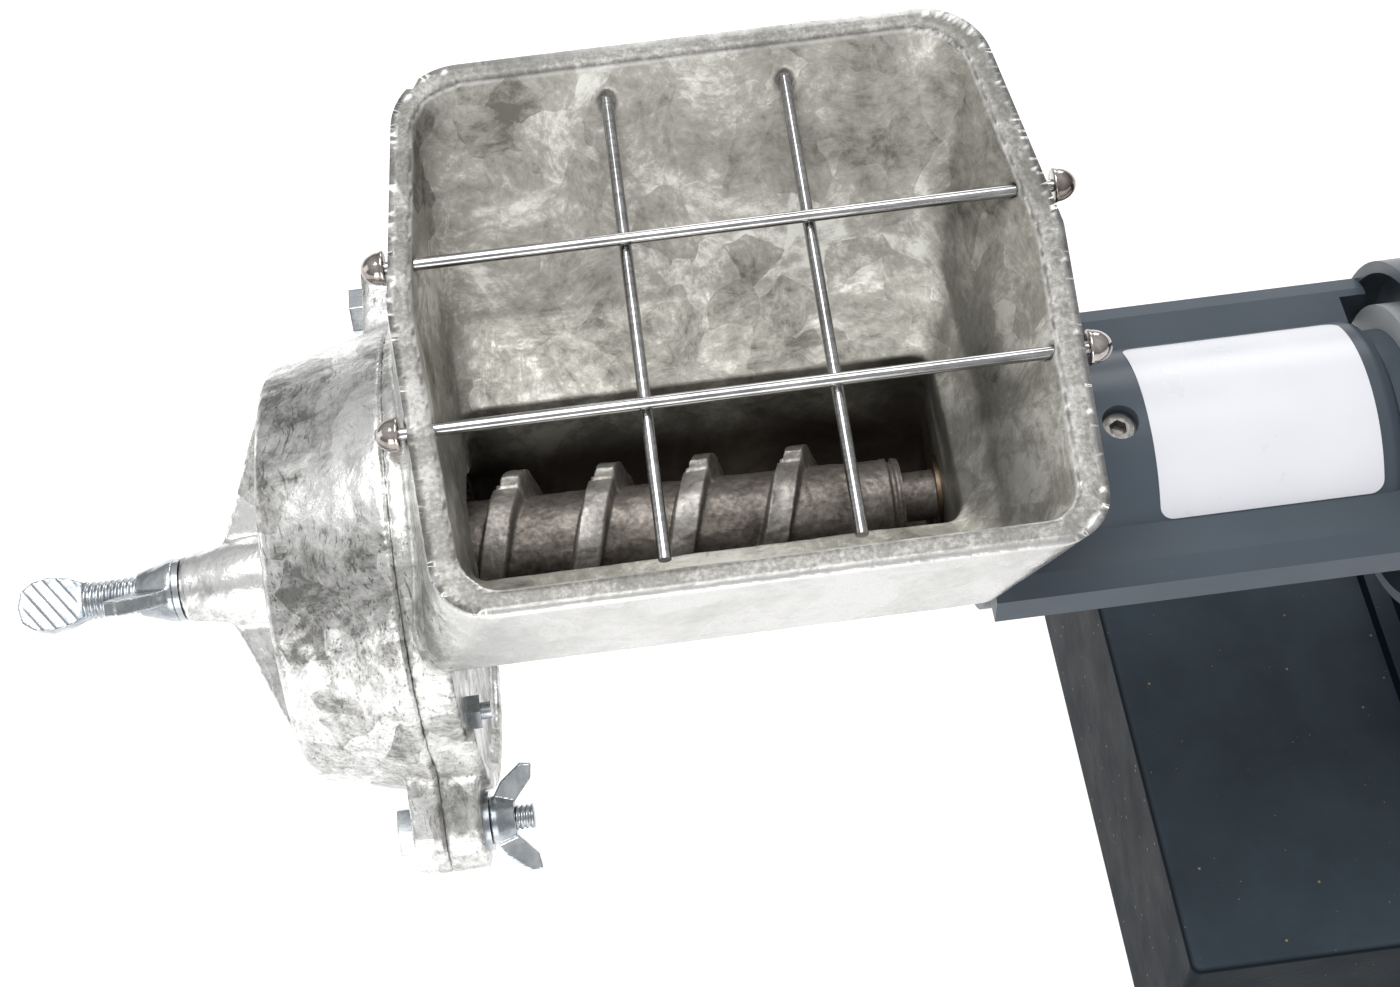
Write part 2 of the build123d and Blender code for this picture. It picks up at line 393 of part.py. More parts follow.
z0, z1 = BASE_TOP - SKIRT, BASE_TOP
pan = bx(BASE_X0, BASE_X1, -BASE_HY, BASE_HY, z0, z1)
ve = pan.edges().filter_by(Axis.Z)
pan = fillet(ve, 3.0)
pan = fillet(pan.faces().sort_by(Axis.Z)[-1].edges(), 2.2)
pan = pan - bx(BASE_X0 + SHEET, BASE_X1 - SHEET, -BASE_HY + SHEET, BASE_HY - SHEET, z0 - 1, z1 - SHEET)
lips = bx(BASE_X0 + 1, BASE_X0 + 26, -BASE_HY + 1, BASE_HY - 1, z0, z0 + SHEET) + bx(BASE_X1 - 26, BASE_X1 - 1, -BASE_HY + 1, BASE_HY - 1, z0, z0 + SHEET)
pan = pan + lips
foot_pts = [(BASE_X0 + 15, -BASE_HY + 17), (BASE_X0 + 15, BASE_HY - 17), (BASE_X1 - 15, -BASE_HY + 17), (BASE_X1 - 15, BASE_HY - 17)]
for p in foot_pts:
    pan = pan - cz(2.7, z0 - 1, z0 + 4, *p)
for p in ped_holes:
    pan = pan - cz(3.4, z1 - 4, z1 + 1, *p)
node("base_pan", pan)
node("rubber_feet", *[Pos(p[0], p[1], z0 - FOOT_H / 2) * Cone(9.5, 12.0, FOOT_H) - cz(2.6, z0 - 8, z0 + 1, *p) - cz(5.4, z0 - FOOT_H - 1, z0 - 8, *p) for p in foot_pts])
node("foot_screws", *[cz(4.8, z0 - 10.5, z0 - 8, *p) + cz(2.5, z0 - 8, z0 + 6, *p) for p in foot_pts])

# ================================================================ write every node, origin at the bench under the middle
SHIFT = Location((-X_MID, 0, AXIS_H))
for name, solids in NODES.items():
    moved = [s.moved(SHIFT) for s in solids]
    shape = moved[0] if len(moved) == 1 else Compound(children=moved)
    export_step(shape, "parts/" + name + ".step")
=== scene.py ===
import bpy, bmesh, math, random
import numpy as np
from mathutils import Vector, Matrix, noise, kdtree


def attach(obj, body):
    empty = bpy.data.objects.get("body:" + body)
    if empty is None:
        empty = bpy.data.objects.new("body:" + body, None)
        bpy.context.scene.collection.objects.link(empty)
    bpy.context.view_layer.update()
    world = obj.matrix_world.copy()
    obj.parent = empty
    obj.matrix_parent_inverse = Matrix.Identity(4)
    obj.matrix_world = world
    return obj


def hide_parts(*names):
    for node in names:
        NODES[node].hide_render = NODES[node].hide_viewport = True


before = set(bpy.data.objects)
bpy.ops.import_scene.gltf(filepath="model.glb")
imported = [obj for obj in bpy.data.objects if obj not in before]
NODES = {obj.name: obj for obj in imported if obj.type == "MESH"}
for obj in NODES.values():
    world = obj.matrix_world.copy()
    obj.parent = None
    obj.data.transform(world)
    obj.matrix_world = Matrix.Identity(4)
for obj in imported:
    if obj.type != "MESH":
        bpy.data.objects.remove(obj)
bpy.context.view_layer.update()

XM, ZH = 181.0, 231.0            # shaft frame (mm) to row frame (m)
sc = bpy.context.scene

def row(P):
    P = np.asarray(P, float).reshape(-1, 3)
    return (P + np.array([-XM, 0.0, ZH])) / 1000.0

def to_mm(P):
    return np.asarray(P, float).reshape(-1, 3) * 1000.0 - np.array([-XM, 0.0, ZH])

# ------------------------------------------------------------------ mesh helpers
def new_obj(name, verts_mm, faces, smooth=True, angle=None):
    me = bpy.data.meshes.new(name)
    me.from_pydata([tuple(v) for v in row(verts_mm)], [], faces)
    me.validate()
    me.update()
    o = bpy.data.objects.new(name, me)
    sc.collection.objects.link(o)
    shade(o, angle if smooth else 0.0)
    return o

def shade(o, angle=None):
    me = o.data
    for p in me.polygons:
        p.use_smooth = True
    if angle is not None:
        me.set_sharp_from_angle(angle=math.radians(angle))

def coords(o):
    a = np.empty(len(o.data.vertices) * 3)
    o.data.vertices.foreach_get("co", a)
    return a.reshape(-1, 3)

def set_coords(o, co):
    o.data.vertices.foreach_set("co", co.ravel())
    o.data.update()

def normals(o):
    a = np.empty(len(o.data.vertices) * 3)
    o.data.vertex_normals.foreach_get("vector", a)
    return a.reshape(-1, 3)

def set_attr(o, name, vals):
    at = o.data.attributes.get(name) or o.data.attributes.new(name, "FLOAT", "POINT")
    at.data.foreach_set("value", np.asarray(vals, np.float32))

def weld(me, d=1e-5):
    bm = bmesh.new(); bm.from_mesh(me)
    bmesh.ops.remove_doubles(bm, verts=bm.verts, dist=d)
    bm.to_mesh(me); bm.free(); me.update()

def cad_copy(node, name):
    o = NODES[node].copy(); o.data = NODES[node].data.copy()
    o.name = name; o.data.name = name
    for k in list(o.keys()):
        if k.startswith("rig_"):
            del o[k]
    o.parent = None; o.matrix_world = Matrix.Identity(4)
    sc.collection.objects.link(o)
    weld(o.data)
    o.data.materials.clear()
    return o

def remeshed(node, name, voxel):
    o = cad_copy(node, name)
    m = o.modifiers.new("r", "REMESH"); m.mode = "VOXEL"; m.voxel_size = voxel / 1000.0; m.adaptivity = 0.0
    dg = bpy.context.evaluated_depsgraph_get()
    me = bpy.data.meshes.new_from_object(o.evaluated_get(dg))
    o.modifiers.clear()
    o.data = me
    me.name = name
    return o

def edges_of(o):
    e = np.empty(len(o.data.edges) * 2, np.int64)
    o.data.edges.foreach_get("vertices", e)
    return e.reshape(-1, 2)

def relax(o, it, w=None, lam=0.5):
    """Plain Laplacian smoothing, weighted per vertex, volume kept by an outward back-step."""
    e = edges_of(o); co = coords(o); n = len(co)
    deg = np.bincount(e.ravel(), minlength=n).astype(float)[:, None]; deg[deg == 0] = 1
    if w is None: w = np.ones(n)
    w = w[:, None]
    for k in range(it):
        for f in (lam, -lam * 0.96):
            s = np.zeros_like(co)
            for c in range(3):
                s[:, c] = np.bincount(e[:, 0], co[e[:, 1], c], n) + np.bincount(e[:, 1], co[e[:, 0], c], n)
            co = co + w * f * (s / deg - co)
    set_coords(o, co)

def fbm(P, scale, octaves=3, seed=0.0):
    out = np.empty(len(P))
    off = Vector((seed * 7.3, seed * 3.1, seed * 5.7))
    for i, p in enumerate(P):
        q = Vector(p) * scale + off
        v = noise.noise(q); a = 0.5; s = 2.0
        for k in range(octaves - 1):
            v += a * noise.noise(q * s); a *= 0.5; s *= 2.0
        out[i] = v
    return out

def curvature(o):
    e = edges_of(o); co = coords(o); n = len(co); nr = normals(o)
    deg = np.bincount(e.ravel(), minlength=n).astype(float); deg[deg == 0] = 1
    s = np.zeros_like(co)
    for c in range(3):
        s[:, c] = np.bincount(e[:, 0], co[e[:, 1], c], n) + np.bincount(e[:, 1], co[e[:, 0], c], n)
    d = s / deg[:, None] - co
    cv = -(d * nr).sum(1)            # > 0 on convex edges
    for k in range(2):
        s1 = np.bincount(e[:, 0], cv[e[:, 1]], n) + np.bincount(e[:, 1], cv[e[:, 0]], n)
        cv = 0.5 * cv + 0.5 * s1 / deg
    return cv

def put(o, body, node_names, mat):
    o.data.materials.clear(); o.data.materials.append(mat)
    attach(o, body)
    if node_names:
        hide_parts(*node_names)
    return o

# ------------------------------------------------------------------ node material helpers
class Mat:
    def __init__(self, name):
        self.m = bpy.data.materials.new(name); self.m.use_nodes = True
        self.t = self.m.node_tree; self.n = self.t.nodes; self.l = self.t.links
        self.b = self.n["Principled BSDF"]
        self.tc = self.n.new("ShaderNodeTexCoord")
        self._bump = None
    def link(self, a, b): self.l.new(a, b)
    def mapping(self, scale, rot=(0, 0, 0), loc=(0, 0, 0)):
        mp = self.n.new("ShaderNodeMapping")
        mp.inputs["Scale"].default_value = scale if hasattr(scale, "__len__") else (scale,) * 3
        mp.inputs["Rotation"].default_value = rot; mp.inputs["Location"].default_value = loc
        self.link(self.tc.outputs["Object"], mp.inputs["Vector"])
        return mp.outputs["Vector"]
    def noise(self, scale, detail=4, rough=0.55, dist=0.0, vec=None, out="Fac"):
        t = self.n.new("ShaderNodeTexNoise")
        t.inputs["Scale"].default_value = scale; t.inputs["Detail"].default_value = detail
        t.inputs["Roughness"].default_value = rough; t.inputs["Distortion"].default_value = dist
        self.link(vec or self.tc.outputs["Object"], t.inputs["Vector"])
        return t.outputs[out]
    def voronoi(self, scale, feature="F1", vec=None, out="Distance", rnd=1.0):
        t = self.n.new("ShaderNodeTexVoronoi"); t.feature = feature
        t.inputs["Scale"].default_value = scale; t.inputs["Randomness"].default_value = rnd
        self.link(vec or self.tc.outputs["Object"], t.inputs["Vector"])
        return t.outputs[out]
    def ramp(self, fac, stops, interp="LINEAR"):
        r = self.n.new("ShaderNodeValToRGB"); cr = r.color_ramp; cr.interpolation = interp
        while len(cr.elements) < len(stops): cr.elements.new(0.5)
        for el, (p, c) in zip(cr.elements, stops):
            el.position = p
            el.color = (c, c, c, 1) if not hasattr(c, "__len__") else (*c, 1)
        self.link(fac, r.inputs["Fac"])
        return r.outputs["Color"]
    def math(self, op, a, b=None, clamp=False):
        t = self.n.new("ShaderNodeMath"); t.operation = op; t.use_clamp = clamp
        for k, v in enumerate((a, b)):
            if v is None: continue
            if hasattr(v, "is_output") or hasattr(v, "links"): self.link(v, t.inputs[k])
            else: t.inputs[k].default_value = v
        return t.outputs[0]
    def mix(self, fac, a, b, mode="MIX"):
        t = self.n.new("ShaderNodeMix"); t.data_type = "RGBA"; t.blend_type = mode
        for s, v in ((t.inputs[0], fac), (t.inputs[6], a), (t.inputs[7], b)):
            if hasattr(v, "links"): self.link(v, s)
            elif hasattr(v, "__len__"): s.default_value = (*v, 1)
            else: s.default_value = v
        return t.outputs[2]
    def attr(self, name):
        t = self.n.new("ShaderNodeAttribute"); t.attribute_name = name
        return t.outputs["Fac"]
    def bump(self, height, strength, dist=0.001):
        t = self.n.new("ShaderNodeBump"); t.inputs["Strength"].default_value = strength; t.inputs["Distance"].default_value = dist
        self.link(height, t.inputs["Height"])
        if self._bump is not None: self.link(self._bump, t.inputs["Normal"])
        self._bump = t.outputs["Normal"]
        self.link(self._bump, self.b.inputs["Normal"])
    def set(self, **kw):
        for k, v in kw.items():
            s = self.b.inputs[k.replace("_", " ")]
            if hasattr(v, "links"): self.link(v, s)
            elif hasattr(v, "__len__"): s.default_value = (*v, 1)
            else: s.default_value = v
        return self

# ---- bright tinned casting: feathery streaks and scratches; darker and dirtier inside the hopper (dirt plus painted shade), painted shade low in the hopper and trough, painted highlight on the rim edges, painted light on the front outside wall
def mat_tin(name, lo, mid, hi, body=False):
    M = Mat(name)
    warp = M.noise(30, 3, 0.5, 0.0, out="Color")
    mp = M.n.new("ShaderNodeVectorMath"); mp.operation = "MULTIPLY_ADD"
    M.link(warp, mp.inputs[0]); mp.inputs[1].default_value = (0.022, 0.022, 0.022)
    M.link(M.tc.outputs["Object"], mp.inputs[2])
    vec = mp.outputs[0]
    def streaks(scale, rot, detail, rough, dist):
        st = M.n.new("ShaderNodeMapping"); st.inputs["Scale"].default_value = scale; st.inputs["Rotation"].default_value = rot
        M.link(vec, st.inputs["Vector"])
        return M.noise(1.0, detail, rough, dist, vec=st.outputs["Vector"])
    big = M.noise(20, 9, 0.70, 0.35)
    s1 = streaks((420, 120, 420), (0.3, 0.5, 0.7), 7, 0.76, 0.15)
    s2 = streaks((130, 420, 260), (0.9, -0.4, -0.6), 7, 0.76, 0.15)
    s3 = M.noise(210, 8, 0.78, 0.1)
    cell = M.n.new("ShaderNodeSeparateColor"); M.link(M.voronoi(85, "F1", vec=vec, out="Color"), cell.inputs[0])
    sel = M.ramp(cell.outputs[0], [(0.48, 0.0), (0.52, 1.0)])
    st = M.mix(sel, s1, s2)
    a = M.math("MULTIPLY", big, 0.40)
    a = M.math("ADD", a, M.math("MULTIPLY", st, 0.30))
    a = M.math("ADD", a, M.math("MULTIPLY", s3, 0.22))
    a = M.math("ADD", a, M.math("MULTIPLY", cell.outputs[1], 0.08))
    col = M.ramp(a, [(0.415, lo), (0.475, mid), (0.545, hi)])
    # fine dark scratches and pits
    sc1 = streaks((1500, 160, 900), (0.2, 0.9, 0.5), 3, 0.6, 0.0)
    pit = M.math("MULTIPLY", M.ramp(sc1, [(0.36, 1.0), (0.42, 0.0)]), M.ramp(big, [(0.44, 1.0), (0.56, 0.20)]))
    col = M.mix(M.math("MULTIPLY", pit, 0.75), col, tuple(0.45 * v for v in lo))
    rough = M.ramp(a, [(0.38, 0.44), (0.50, 0.31), (0.62, 0.21)])
    fine = M.noise(900, 3, 0.6)
    if body:
        ins, tr, rim, edge_highlight = M.attr("inside"), M.attr("trough"), M.attr("rimface"), M.attr("edge_highlight")
        grime_and_shade_noise = M.noise(24, 6, 0.62, 0.8)
        # inside the hopper: own darker, browner colour ramp, dirt plus painted shade of the hollow
        inc = M.ramp(M.math("ADD", M.math("MULTIPLY", a, 0.72), M.math("MULTIPLY", grime_and_shade_noise, 0.28)),
                     [(0.41, (0.15, 0.143, 0.122)), (0.46, (0.32, 0.31, 0.275)), (0.51, (0.47, 0.455, 0.41)), (0.565, (0.88, 0.87, 0.81))])
        col = M.mix(ins, col, inc)
        # trough floor: dark brown, grime plus painted shade of the trough
        brown = M.ramp(grime_and_shade_noise, [(0.35, (0.040, 0.033, 0.027)), (0.52, (0.085, 0.071, 0.058)), (0.68, (0.19, 0.165, 0.14))])
        # painted shade: steep walls low in the hopper go near black, strongest on the right wall
        deep_shade_fac = M.attr("deep_painted_shade")
        col = M.mix(M.math("MULTIPLY", deep_shade_fac, 0.85), col, M.ramp(grime_and_shade_noise, [(0.38, (0.030, 0.029, 0.026)), (0.60, (0.14, 0.137, 0.12))]))
        col = M.mix(tr, col, brown)
        rimc = M.ramp(M.math("ADD", M.math("MULTIPLY", fine, 0.25), M.math("MULTIPLY", a, 0.75)), [(0.42, (0.15, 0.147, 0.135)), (0.50, (0.225, 0.22, 0.205)), (0.57, (0.36, 0.355, 0.34))])
        col = M.mix(rim, col, rimc)
        # painted light: the front-facing outside wall is lifted to pale grey, a painted reflection of the bright
        # surroundings
        front_lit_mask = M.attr("front_painted_light")
        col = M.mix(M.math("MULTIPLY", front_lit_mask, 0.80), col, M.ramp(big, [(0.40, (0.62, 0.615, 0.60)), (0.60, (0.68, 0.675, 0.66))]))
        # painted highlight: near-white along the rim edges
        col = M.mix(edge_highlight, col, (0.92, 0.91, 0.89))
        rough = M.mix(ins, rough, M.ramp(a, [(0.38, 0.52), (0.60, 0.30)]))
        rough = M.mix(tr, rough, (0.55, 0.55, 0.55))
        rough = M.mix(rim, rough, (0.50, 0.50, 0.50))
        rough = M.mix(edge_highlight, rough, (0.28, 0.28, 0.28))
        M.set(Metallic=M.ramp(ins, [(0.0, 0.90), (1.0, 0.50)]))
    else:
        M.b.inputs["Metallic"].default_value = 0.90
    M.set(Base_Color=col, Roughness=rough)
    M.bump(M.noise(150, 4, 0.55, 0.4), 0.18, 0.002)
    M.bump(s3, 0.12, 0.0006)
    M.bump(fine, 0.05, 0.0005)
    return M.m

def mat_dark_cast(name, lo, hi, metallic=0.75):
    M = Mat(name)
    g = M.noise(70, 6, 0.62, 0.6); f = M.noise(700, 3, 0.6)
    a = M.math("ADD", M.math("MULTIPLY", g, 0.65), M.math("MULTIPLY", f, 0.35))
    col = M.ramp(a, [(0.36, lo), (0.50, tuple(0.5 * (x + y) for x, y in zip(lo, hi))), (0.66, hi)])
    if name == "auger_cast":
        w = M.attr("wear")
        col = M.mix(w, col, M.ramp(a, [(0.36, (0.19, 0.175, 0.16)), (0.66, (0.52, 0.50, 0.47))]))
    M.set(Base_Color=col, Roughness=M.ramp(a, [(0.35, 0.55), (0.65, 0.33)]))
    M.b.inputs["Metallic"].default_value = metallic
    M.bump(g, 0.35, 0.0015); M.bump(f, 0.22, 0.0005)
    return M.m

def mat_rod(name):
    M = Mat(name)
    mp = M.mapping((90, 900, 900))
    s = M.noise(1.0, 4, 0.6, 0.2, vec=mp)
    d = M.noise(60, 4, 0.6)
    M.set(Base_Color=M.ramp(M.math("ADD", M.math("MULTIPLY", s, 0.5), M.math("MULTIPLY", d, 0.5)), [(0.35, (0.26, 0.26, 0.26)), (0.62, (0.52, 0.52, 0.52))]),
          Roughness=M.ramp(s, [(0.3, 0.10), (0.7, 0.22)]))
    M.b.inputs["Metallic"].default_value = 1.0
    M.bump(s, 0.012, 0.0002)
    return M.m

def mat_zinc(name, lo=(0.28, 0.31, 0.34), hi=(0.62, 0.65, 0.67), r=(0.18, 0.34)):
    M = Mat(name)
    g = M.noise(140, 5, 0.6, 0.3); f = M.noise(1500, 2, 0.5)
    M.set(Base_Color=M.ramp(g, [(0.34, lo), (0.62, hi)]), Roughness=M.ramp(g, [(0.35, r[1]), (0.65, r[0])]))
    M.b.inputs["Metallic"].default_value = 1.0
    M.bump(g, 0.08, 0.0008); M.bump(f, 0.06, 0.0002)
    return M.m

def mat_paint(name, col, dust=0.0, rough=(0.30, 0.40), coat=0.25, peel=0.10, spec=0.5, film=None):
    M = Mat(name)
    g = M.noise(14, 4, 0.5)
    c2 = tuple(x * 1.25 for x in col)
    base = M.ramp(g, [(0.35, col), (0.68, c2)])
    if dust:
        d1 = M.voronoi(210, "F1"); pick = M.n.new("ShaderNodeSeparateColor"); M.link(M.voronoi(210, "F1", out="Color"), pick.inputs[0])
        spot = M.math("MULTIPLY", M.ramp(d1, [(0.05, 1.0), (0.10, 0.0)]), M.ramp(pick.outputs[0], [(0.86, 0.0), (0.90, 1.0)]))
        d2 = M.voronoi(520, "F1"); pick2 = M.n.new("ShaderNodeSeparateColor"); M.link(M.voronoi(520, "F1", out="Color"), pick2.inputs[0])
        spot2 = M.math("MULTIPLY", M.ramp(d2, [(0.06, 1.0), (0.13, 0.0)]), M.ramp(pick2.outputs[0], [(0.90, 0.0), (0.94, 0.8)]))
        sp = M.math("MULTIPLY", M.math("MAXIMUM", spot, spot2), dust, clamp=True)
        base = M.mix(sp, base, (0.34, 0.24, 0.12))
    if film:                                      # lighter film on what faces up: settled dust plus painted light on the top faces
        sx = M.n.new("ShaderNodeSeparateXYZ"); M.link(M.tc.outputs["Normal"], sx.inputs[0])
        up = M.ramp(sx.outputs[2], [(0.55, 0.0), (0.95, 1.0)])
        base = M.mix(up, base, M.ramp(M.noise(30, 6, 0.6), [(0.35, tuple(x * 0.85 for x in film)), (0.68, tuple(x * 1.15 for x in film))]))
        if dust: base = M.mix(M.math("MULTIPLY", sp, up), base, (0.34, 0.24, 0.12))
    M.set(Base_Color=base, Roughness=M.ramp(M.noise(40, 5, 0.6), [(0.35, rough[0]), (0.65, rough[1])]))
    M.b.inputs["Coat Weight"].default_value = coat; M.b.inputs["Specular IOR Level"].default_value = spec
    M.b.inputs["Coat Roughness"].default_value = 0.18
    M.bump(M.noise(420, 2, 0.5), peel, 0.0006)
    return M.m

def mat_plastic(name, col, rough=(0.42, 0.58), bump=0.12, scale=900, var=0.14):
    M = Mat(name)
    g = M.noise(60, 4, 0.6)
    M.set(Base_Color=M.ramp(g, [(0.3, tuple(x * (1 - var) for x in col)), (0.7, tuple(min(1, x * (1 + 0.8 * var)) for x in col))]),
          Roughness=M.ramp(g, [(0.3, rough[0]), (0.7, rough[1])]))
    M.bump(M.noise(scale, 3, 0.6), bump, 0.0004)
    return M.m

TIN = mat_tin("tinned_body", (0.26, 0.26, 0.245), (0.50, 0.50, 0.48), (0.80, 0.80, 0.785), body=True)
TIN2 = mat_tin("tinned_cover", (0.20, 0.20, 0.19), (0.52, 0.515, 0.50), (0.84, 0.84, 0.83))
TINS = mat_tin("tinned_small", (0.22, 0.22, 0.21), (0.46, 0.46, 0.45), (0.78, 0.78, 0.76))
AUG = mat_dark_cast("auger_cast", (0.085, 0.073, 0.063), (0.31, 0.28, 0.25), 0.6)
PLATE = mat_dark_cast("plate_cast", (0.10, 0.095, 0.09), (0.30, 0.285, 0.27))
ROD = mat_rod("bright_rod")
NUTC = mat_zinc("push_nut_steel", (0.20, 0.165, 0.14), (0.62, 0.58, 0.55), (0.10, 0.20))
ZINC = mat_zinc("zinc_plate")
GROUND = mat_zinc("ground_steel", (0.30, 0.29, 0.28), (0.62, 0.61, 0.60), (0.22, 0.38))
DRIVE = mat_paint("drive_enamel", (0.050, 0.064, 0.081), 0.08, (0.30, 0.40), 0.0, 0.05, 0.32)
# base pan: the film colour on up-facing faces is settled dust plus painted light
BASE = mat_paint("base_enamel", (0.0055, 0.009, 0.013), 1.0, (0.36, 0.46), 0.0, 0.10, 0.02, (0.043, 0.056, 0.069))
MOTOR = mat_paint("motor_enamel", (0.030, 0.035, 0.040), 0.15, (0.38, 0.50), 0.0, 0.16, 0.3)
COLLAR = mat_plastic("collar_polymer", (0.36, 0.38, 0.39))
BLACK = mat_plastic("black_moulded", (0.022, 0.022, 0.024))
RUBBER = mat_plastic("black_rubber", (0.018, 0.018, 0.018), (0.70, 0.85), 0.25, 1400)
BRONZE = mat_zinc("sintered_bronze", (0.10, 0.075, 0.05), (0.24, 0.18, 0.12), (0.35, 0.5))
LABEL = mat_plastic("label_film", (0.68, 0.69, 0.725), (0.26, 0.36), 0.03, 500, 0.02)

# ================================================================ camera, light, floor
cam = bpy.data.cameras.new("camera"); cam.sensor_width = 36.0; cam.sensor_fit = "HORIZONTAL"; cam.lens = 53.871
cam.clip_start = 0.01; cam.clip_end = 50
camo = bpy.data.objects.new("camera", cam); sc.collection.objects.link(camo)
CR = Vector((0.99185205, -0.11602488, -0.05260931)); CU = Vector((0.12567154, 0.82340638, 0.55336118)); CD = Vector((0.02088482, 0.55546392, -0.83127833))
CP = Vector((-0.120356, -0.290529, 0.679522))
camo.matrix_world = Matrix(((CR.x, CU.x, -CD.x, CP.x), (CR.y, CU.y, -CD.y, CP.y), (CR.z, CU.z, -CD.z, CP.z), (0, 0, 0, 1)))
sc.camera = camo

sc.view_settings.view_transform = "Standard"; sc.view_settings.look = "None"
sc.view_settings.exposure = 0.0; sc.view_settings.gamma = 1.0

w = bpy.data.worlds.new("tent"); sc.world = w; w.use_nodes = True
wt = w.node_tree; bg = wt.nodes["Background"]
tcw = wt.nodes.new("ShaderNodeTexCoord"); sep = wt.nodes.new("ShaderNodeSeparateXYZ")
wt.links.new(tcw.outputs["Generated"], sep.inputs[0])
rw = wt.nodes.new("ShaderNodeValToRGB"); rw.color_ramp.elements[0].position = 0.0
rw.color_ramp.elements[0].color = (0.30, 0.30, 0.31, 1); rw.color_ramp.elements[1].position = 0.75; rw.color_ramp.elements[1].color = (0.80, 0.80, 0.80, 1)
wt.links.new(sep.outputs["Z"], rw.inputs["Fac"]); wt.links.new(rw.outputs["Color"], bg.inputs["Color"])
bg.inputs["Strength"].default_value = 0.78

def area(name, loc, target, size, energy, size_y=None, col=(1, 1, 1)):
    L = bpy.data.lights.new(name, "AREA"); L.energy = energy; L.size = size; L.color = col
    if size_y: L.shape = "RECTANGLE"; L.size_y = size_y
    o = bpy.data.objects.new(name, L); sc.collection.objects.link(o)
    o.location = loc
    o.rotation_euler = (Vector(target) - Vector(loc)).to_track_quat("-Z", "Y").to_euler()
    return o
area("key_top", (-0.25, 0.15, 1.55), (-0.05, 0, 0.22), 1.0, 12.5, 0.8)
area("fill_front", (-0.45, -1.35, 0.45), (-0.08, 0, 0.2), 1.1, 8.5, 0.8)
area("rim_back", (0.35, 1.4, 0.9), (0, 0, 0.2), 1.0, 6.0, 0.6)
area("side_left", (-1.4, 0.1, 0.55), (-0.1, 0, 0.2), 0.7, 2.0, 0.7)

fm = bpy.data.meshes.new("floor"); R = 6.0
fm.from_pydata([(-R, -R, -0.0002), (R, -R, -0.0002), (R, R, -0.0002), (-R, R, -0.0002)], [], [(0, 1, 2, 3)])
floor = bpy.data.objects.new("floor", fm); sc.collection.objects.link(floor)
FM = Mat("floor_paper"); FM.set(Base_Color=FM.ramp(FM.noise(3.0, 2, 0.5), [(0.3, (0.28, 0.28, 0.28)), (0.7, (0.30, 0.30, 0.30))]), Roughness=0.9)
FM.b.inputs["Emission Color"].default_value = (1, 1, 1, 1); FM.b.inputs["Emission Strength"].default_value = 0.93
floor.data.materials.append(FM.m)

# ================================================================ grinding head casting
def poly_at(z, y):
    """Inner hopper outlines (six corners) at the rim, mid and low levels, for the caller to lerp between."""
    rim = np.array([(16.8, -51.0), (152.6, -51.0), (156.4, 22), (147, 82.2), (14.6, 82.2), (10.0, 22)])
    mid = np.array([(14.5, -45.5), (139, -45.5), (140, 10), (139, 43), (14.5, 43), (12.6, 10)])
    low = np.array([(15, -27), (132, -27), (132.8, 0.5), (132, 23), (15, 23), (14.2, 0.5)])
    return rim, mid, low

def smooth01(x, a, b):
    t = np.clip((x - a) / (b - a), 0, 1); return t * t * (3 - 2 * t)

def inside_mask(P, off):
    x, y, z = P[:, 0], P[:, 1], P[:, 2]
    rim, mid, low = poly_at(0, 0)
    zr = 70.9 + 0.1591 * y
    t1 = np.clip((z - 40.0) / np.maximum(zr - 40.0, 1.0), 0, 1.15); t2 = np.clip((z - 29.0) / 11.0, 0, 1)
    V = np.where((z > 40)[:, None, None], mid[None] + (rim - mid)[None] * t1[:, None, None], low[None] + (mid - low)[None] * t2[:, None, None])
    dmin = np.full(len(P), 1e9)
    for k in range(6):
        a = V[:, k]; b = V[:, (k + 1) % 6]
        e = b - a; nrm = np.stack([e[:, 1], -e[:, 0]], 1); nrm /= np.linalg.norm(nrm, axis=1)[:, None]
        dmin = np.minimum(dmin, -((x - a[:, 0]) * nrm[:, 0] + (y - a[:, 1]) * nrm[:, 1]))
    hop = (dmin > -off) & (z > 27.5)
    trough = (x > 15 - off) & (x < 132.8 + off) & (((np.abs(y) < 23 + off) & (z > 0)) | (np.hypot(y, z) < 23 + off)) & (z <= 29.5)
    return hop | trough, dmin

def rim_lines(node):
    """Points every 0.1 mm along the outline of the CAD rim's flat, in mm."""
    o = cad_copy(node, node + "_lines")
    bm = bmesh.new(); bm.from_mesh(o.data)
    V = to_mm(np.array([v.co[:] for v in bm.verts])); d = np.abs((V[:, 2] - 70.9 - 0.1591 * V[:, 1]) * 0.9876)
    bm.faces.index_update(); bm.verts.index_update()
    flat = {f.index for f in bm.faces if all(d[v.index] < 0.06 for v in f.verts)}
    pts = []
    for e in bm.edges:
        if len({f.index for f in e.link_faces} & flat) == 1:
            a, b = V[e.verts[0].index], V[e.verts[1].index]
            pts.append(a + (b - a) * np.linspace(0, 1, max(2, int(np.linalg.norm(b - a) / 0.1) + 1))[:, None])
    bm.free(); bpy.data.objects.remove(o, do_unlink=True)
    return np.concatenate(pts)

